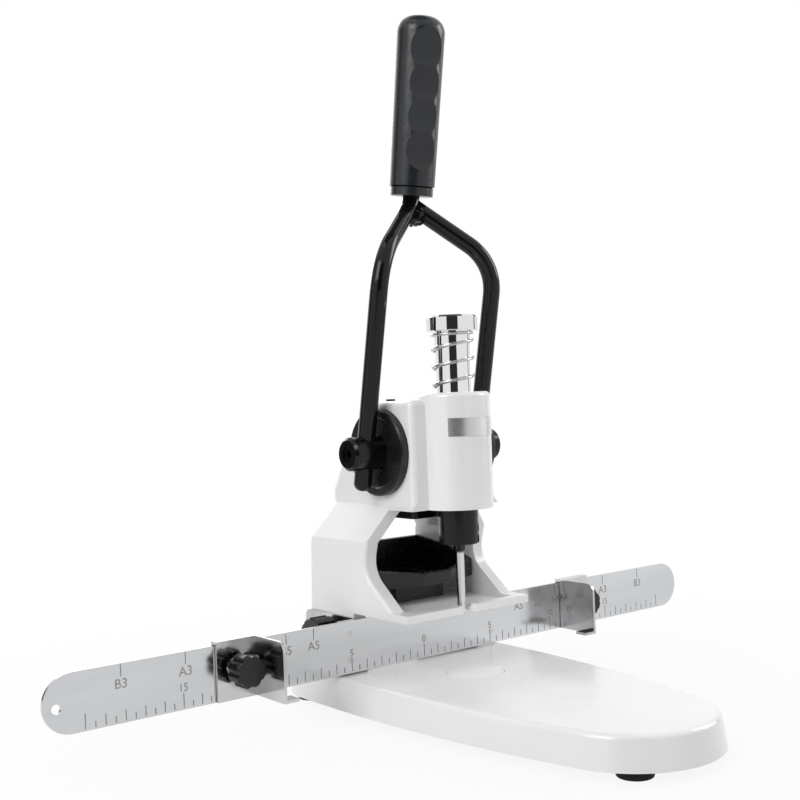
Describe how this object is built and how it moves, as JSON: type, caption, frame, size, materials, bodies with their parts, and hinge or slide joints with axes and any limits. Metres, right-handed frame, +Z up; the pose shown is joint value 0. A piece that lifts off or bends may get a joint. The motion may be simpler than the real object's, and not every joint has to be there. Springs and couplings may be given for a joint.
{
  "type": "paper drill",
  "caption": "Hand-lever desk paper drill: a rack-driven ram presses a hollow drill through paper held under a ledge against a graduated ruler with sliding stops.",
  "frame": {"origin": "centre of the base plate's footprint on the desk", "axes": "+X along the ruler to the operator's right, -Y towards the operator, +Z up"},
  "size_m": [0.44, 0.255, 0.3766],
  "materials": {
    "white_paint": "smooth gloss enamel over a casting",
    "rubber": "matt moulded rubber",
    "steel": "turned steel",
    "spring_steel": "bright plated spring wire",
    "black_steel": "black semi-gloss coating",
    "black_plastic": "moulded black plastic",
    "grip_plastic": "satin black moulded grip",
    "bronze": "sintered bronze",
    "chrome": "polished chrome plate",
    "nylon": "cream nylon",
    "ruler_chrome": "bright plated strip with etched black marks",
    "zinc_sheet": "bright plated sheet"
  },
  "bodies": {
    "frame": {"base_plate": "white_paint", "rubber_feet": "rubber", "foot_screws": "steel", "head_casting": "white_paint", "casting_bolts": "steel", "gear_cover_plate": "black_steel", "gear_cover_screws": "black_steel", "left_cover_disc": "black_plastic", "left_shaft_bush": "bronze", "right_cover_disc": "black_plastic", "right_shaft_bush": "bronze", "bush_set_screws": "black_steel", "ram_bush": "bronze"},
    "lever": {"cross_shaft": "black_steel", "hub_clamp_screws": "black_steel", "drive_pinion": "steel", "pinion_key": "steel", "left_lever_rod": "black_steel", "right_lever_rod": "black_steel", "lever_grip": "grip_plastic"},
    "ram": {"ram": "chrome", "ram_cap": "chrome", "return_spring": "spring_steel", "tool_holder": "black_steel", "holder_set_screw": "black_steel", "hollow_drill": "steel"},
    "cutting_pad": {"cutting_pad": "nylon"},
    "ruler": {"ruler": "ruler_chrome", "left_ruler_carrier": "zinc_sheet", "right_ruler_carrier": "zinc_sheet", "carrier_rivets": "steel"},
    "left_margin_knob": {"left_margin_knob": "black_plastic"},
    "right_margin_knob": {"right_margin_knob": "black_plastic"},
    "left_stop": {"left_paper_stop": "zinc_sheet"},
    "right_stop": {"right_paper_stop": "zinc_sheet"},
    "left_stop_knob": {"left_stop_knob": "black_plastic"},
    "right_stop_knob": {"right_stop_knob": "black_plastic"},
    "chip_bin": {"chip_bin": "black_plastic"}
  },
  "joints": [
    {"name": "lever_swing", "type": "hinge", "parent": "frame", "child": "lever", "pos_m": [0, 0.0587, 0.139], "axis": [1, 0, 0], "range_deg": [0, 85]},
    {"name": "ram_slide", "type": "slide", "parent": "frame", "child": "ram", "axis": [0, 0, -1], "range_m": [0, 0.0312], "stiffness_N_per_m": 900, "springref_m": -0.02, "deforming": ["return_spring"]},
    {"name": "pad_turn", "type": "hinge", "parent": "frame", "child": "cutting_pad", "pos_m": [0, 0.0217, 0.021], "axis": [0, 0, 1], "continuous": true},
    {"name": "ruler_margin_slide", "type": "slide", "parent": "frame", "child": "ruler", "axis": [0, -1, 0], "range_m": [0, 0.018]},
    {"name": "left_margin_knob_turn", "type": "hinge", "parent": "frame", "child": "left_margin_knob", "pos_m": [-0.043, 0.087, 0.0385], "axis": [-1, 0, 0], "continuous": true},
    {"name": "right_margin_knob_turn", "type": "hinge", "parent": "frame", "child": "right_margin_knob", "pos_m": [0.043, 0.087, 0.0385], "axis": [1, 0, 0], "continuous": true},
    {"name": "left_stop_slide", "type": "slide", "parent": "ruler", "child": "left_stop", "axis": [-1, 0, 0], "range_m": [-0.044, 0.07]},
    {"name": "right_stop_slide", "type": "slide", "parent": "ruler", "child": "right_stop", "axis": [1, 0, 0], "range_m": [-0.044, 0.07]},
    {"name": "left_stop_knob_turn", "type": "hinge", "parent": "left_stop", "child": "left_stop_knob", "pos_m": [-0.121, 0.0622, 0.0376], "axis": [0, -1, 0], "continuous": true},
    {"name": "right_stop_knob_turn", "type": "hinge", "parent": "right_stop", "child": "right_stop_knob", "pos_m": [0.121, 0.0622, 0.0376], "axis": [0, -1, 0], "continuous": true},
    {"name": "chip_bin_slide", "type": "slide", "parent": "frame", "child": "chip_bin", "axis": [0, 1, 0], "range_m": [0, 0.045]}
  ],
  "couplings": [
    {"joint": "ram_slide", "follows": "lever_swing", "m_per_rad": 0.021}
  ]
}
